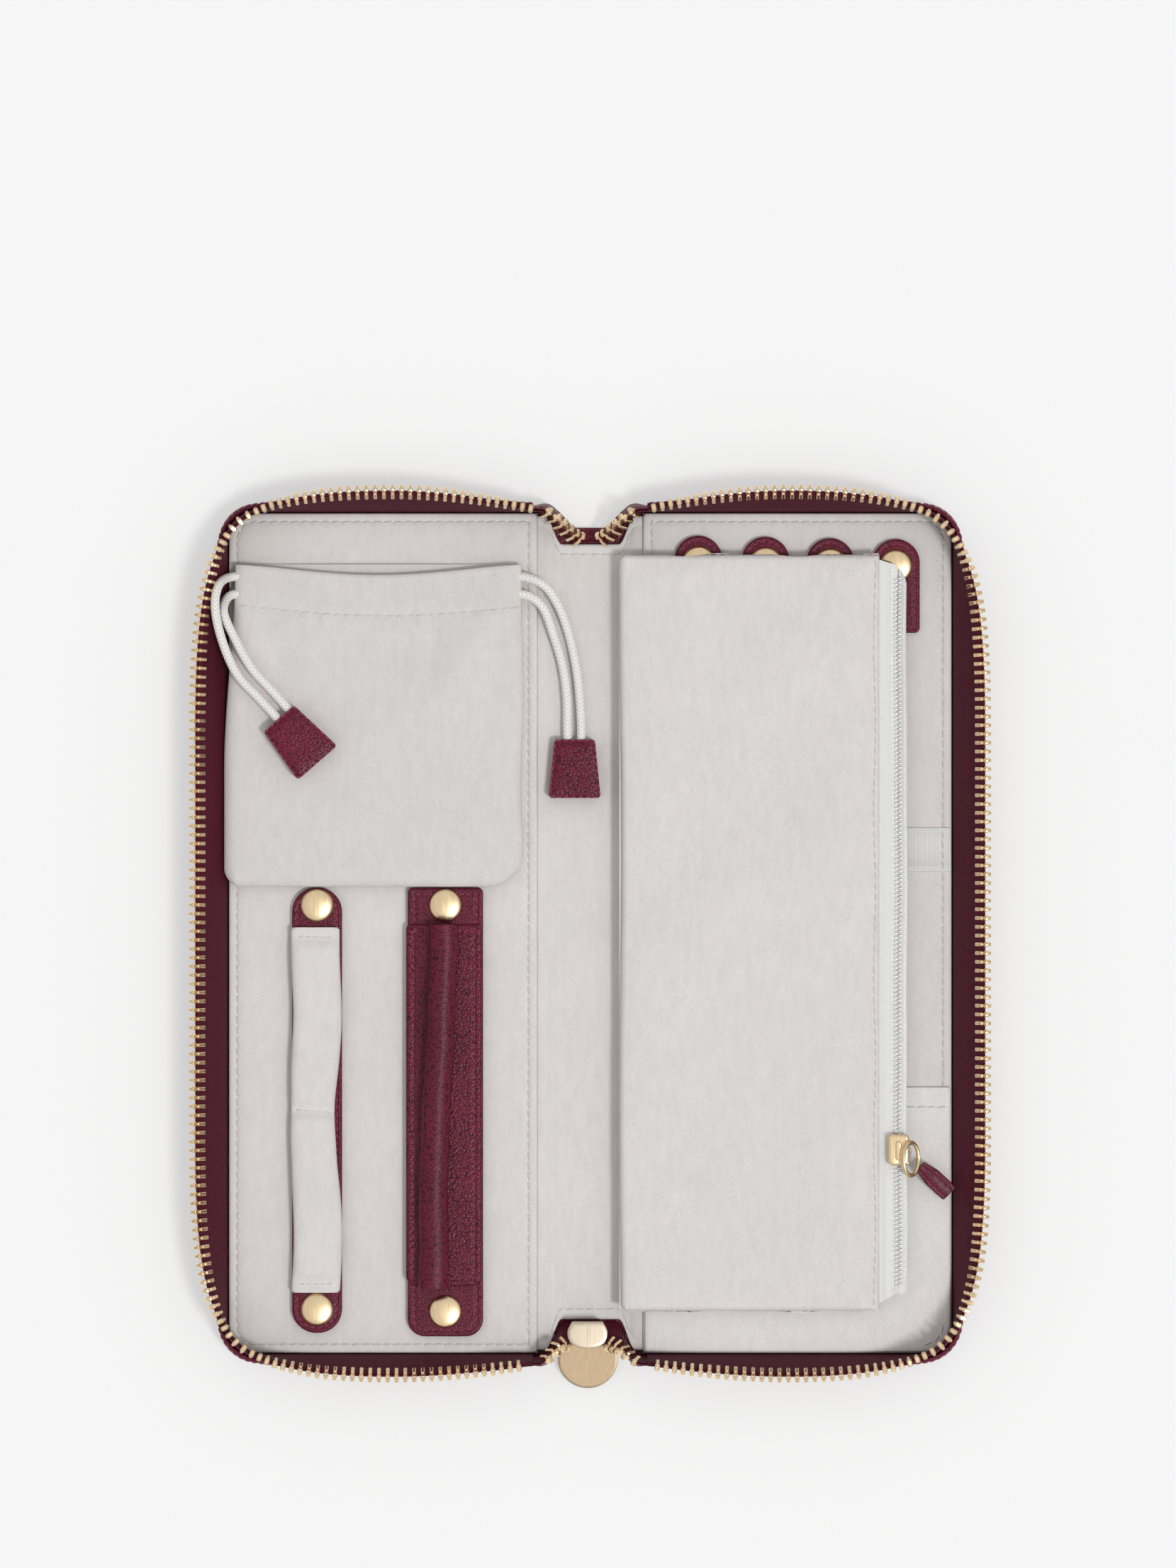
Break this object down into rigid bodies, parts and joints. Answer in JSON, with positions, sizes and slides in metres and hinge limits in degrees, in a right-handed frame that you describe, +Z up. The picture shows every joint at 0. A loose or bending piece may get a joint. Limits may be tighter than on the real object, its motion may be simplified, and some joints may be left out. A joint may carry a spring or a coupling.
{
  "type": "jewelry roll",
  "caption": "Zip-round leather jewelry roll opened flat: drawstring pouch, ring bar and earring bar on one half, necklace tabs and a turning zip pouch on the other.",
  "frame": {"origin": "on the table under the middle of the spine, on the outside of its leather cover", "axes": "+Z up from the open case, +Y along the spine to the end with the necklace tabs, +X to the half with the zip pouch"},
  "size_m": [0.2328, 0.262, 0.018],
  "materials": {
    "pebbled_leather": "burgundy, pebbled grain, semi matte",
    "smooth_leather": "burgundy, smooth grain, soft sheen",
    "woven_zip_tape": "burgundy herringbone tape",
    "velvet": "pale grey short-pile velvet",
    "grey_board": "uncoated stiffening board",
    "rose_gold": "polished light rose gold plating",
    "pale_gold": "brushed pale gold plating",
    "satin_gold": "satin gold plating",
    "braided_cord": "off-white braided cord",
    "nylon_zip": "off-white nylon tape and coil",
    "elastic": "off-white ribbed elastic"
  },
  "bodies": {
    "left_half": {"left_cover": "pebbled_leather", "left_board": "grey_board", "left_lining": "velvet", "left_gusset": "pebbled_leather", "left_zip_tape": "woven_zip_tape", "left_zip_chain": "rose_gold", "drawstring_pouch": "velvet", "left_cord_outer": "braided_cord", "left_cord_inner": "braided_cord", "left_cord_end": "pebbled_leather", "ring_bar_stud": "satin_gold", "earring_bar_stud": "satin_gold"},
    "ring_bar": {"ring_bar_strap": "pebbled_leather", "ring_bar_sleeve": "velvet", "ring_bar_cap_upper": "satin_gold", "ring_bar_cap_lower": "satin_gold"},
    "earring_bar": {"earring_bar_base": "pebbled_leather", "earring_bar_panel": "pebbled_leather", "earring_bar_roll": "smooth_leather", "earring_bar_cap_upper": "satin_gold", "earring_bar_cap_lower": "satin_gold"},
    "spine": {"spine_cover": "pebbled_leather", "spine_lining": "velvet", "spine_end_head": "pebbled_leather", "spine_end_foot": "pebbled_leather", "zip_end_head": "rose_gold", "zip_end_foot_left": "rose_gold", "zip_end_foot_right": "rose_gold", "zip_slider": "pale_gold", "right_cord_outer": "braided_cord", "right_cord_inner": "braided_cord", "right_cord_end": "pebbled_leather"},
    "zip_puller": {"zip_pull": "rose_gold"},
    "right_half": {"right_cover": "pebbled_leather", "right_board": "grey_board", "right_lining": "velvet", "right_gusset": "pebbled_leather", "right_zip_tape": "woven_zip_tape", "right_zip_chain": "rose_gold", "elastic_band": "elastic", "slip_pocket": "velvet", "tab_stud_1": "satin_gold", "tab_stud_2": "satin_gold", "tab_stud_3": "satin_gold", "tab_stud_4": "satin_gold"},
    "tab_1": {"necklace_tab_1": "pebbled_leather", "necklace_cap_1": "satin_gold"},
    "tab_2": {"necklace_tab_2": "pebbled_leather", "necklace_cap_2": "satin_gold"},
    "tab_3": {"necklace_tab_3": "pebbled_leather", "necklace_cap_3": "satin_gold"},
    "tab_4": {"necklace_tab_4": "pebbled_leather", "necklace_cap_4": "satin_gold"},
    "page_hinge": {"page_binding": "velvet"},
    "page": {"page_pouch": "velvet", "page_zip_tape": "nylon_zip", "page_zip_coil": "nylon_zip"},
    "page_slider": {"page_zip_slider": "satin_gold"},
    "page_pull": {"page_pull_ring": "satin_gold", "page_pull_leather": "smooth_leather"}
  },
  "joints": [
    {"name": "spine_fold", "type": "hinge", "parent": "left_half", "child": "spine", "pos_m": [-0.0153, 0, 0.003], "axis": [0, 1, 0], "range_deg": [-90, 0], "deforming": ["right_cord_outer", "right_cord_inner"]},
    {"name": "right_fold", "type": "hinge", "parent": "spine", "child": "right_half", "pos_m": [0.0153, 0, 0.003], "axis": [0, 1, 0], "range_deg": [-90, 0], "deforming": ["page_pull_leather"]},
    {"name": "binding_fold", "type": "hinge", "parent": "spine", "child": "page_hinge", "pos_m": [0.0118, 0, 0.0066], "axis": [0, 1, 0], "range_deg": [-90, 0]},
    {"name": "page_turn", "type": "hinge", "parent": "page_hinge", "child": "page", "pos_m": [0.0085, 0, 0.0098], "axis": [0, -1, 0], "range_deg": [0, 160]},
    {"name": "page_zip_slide", "type": "slide", "parent": "page", "child": "page_slider", "axis": [0, 1, 0], "range_m": [-0.02, 0.165]},
    {"name": "page_pull_swing", "type": "hinge", "parent": "page_slider", "child": "page_pull", "pos_m": [0.0912, -0.0636, 0.0152], "axis": [-0.678, -0.735, 0], "range_deg": [0, 110]},
    {"name": "ring_bar_lift", "type": "hinge", "parent": "left_half", "child": "ring_bar", "pos_m": [-0.0794, -0.1162, 0.005], "axis": [1, 0, 0], "range_deg": [0, 90]},
    {"name": "earring_bar_lift", "type": "hinge", "parent": "left_half", "child": "earring_bar", "pos_m": [-0.0421, -0.1172, 0.005], "axis": [1, 0, 0], "range_deg": [0, 90]},
    {"name": "zip_pull_swing", "type": "hinge", "parent": "spine", "child": "zip_puller", "pos_m": [-0.0007, -0.1192, 0.004], "axis": [1, 0, 0], "range_deg": [0, 78]},
    {"name": "tab_lift_1", "type": "hinge", "parent": "right_half", "child": "tab_1", "pos_m": [0.0315, 0.0883, 0.0048], "axis": [1, 0, 0], "range_deg": [0, 90]},
    {"name": "tab_lift_2", "type": "hinge", "parent": "right_half", "child": "tab_2", "pos_m": [0.051, 0.088, 0.0048], "axis": [1, 0, 0], "range_deg": [0, 90]},
    {"name": "tab_lift_3", "type": "hinge", "parent": "right_half", "child": "tab_3", "pos_m": [0.0698, 0.0876, 0.0048], "axis": [1, 0, 0], "range_deg": [0, 90]},
    {"name": "tab_lift_4", "type": "hinge", "parent": "right_half", "child": "tab_4", "pos_m": [0.0889, 0.0873, 0.0048], "axis": [1, 0, 0], "range_deg": [0, 90]}
  ],
  "couplings": [
    {"joint": "binding_fold", "follows": "right_fold", "ratio": 1},
    {"joint": "tab_lift_1", "follows": "page_turn", "ratio": 0.55},
    {"joint": "tab_lift_2", "follows": "page_turn", "ratio": 0.55},
    {"joint": "tab_lift_3", "follows": "page_turn", "ratio": 0.55},
    {"joint": "tab_lift_4", "follows": "page_turn", "ratio": 0.55}
  ]
}
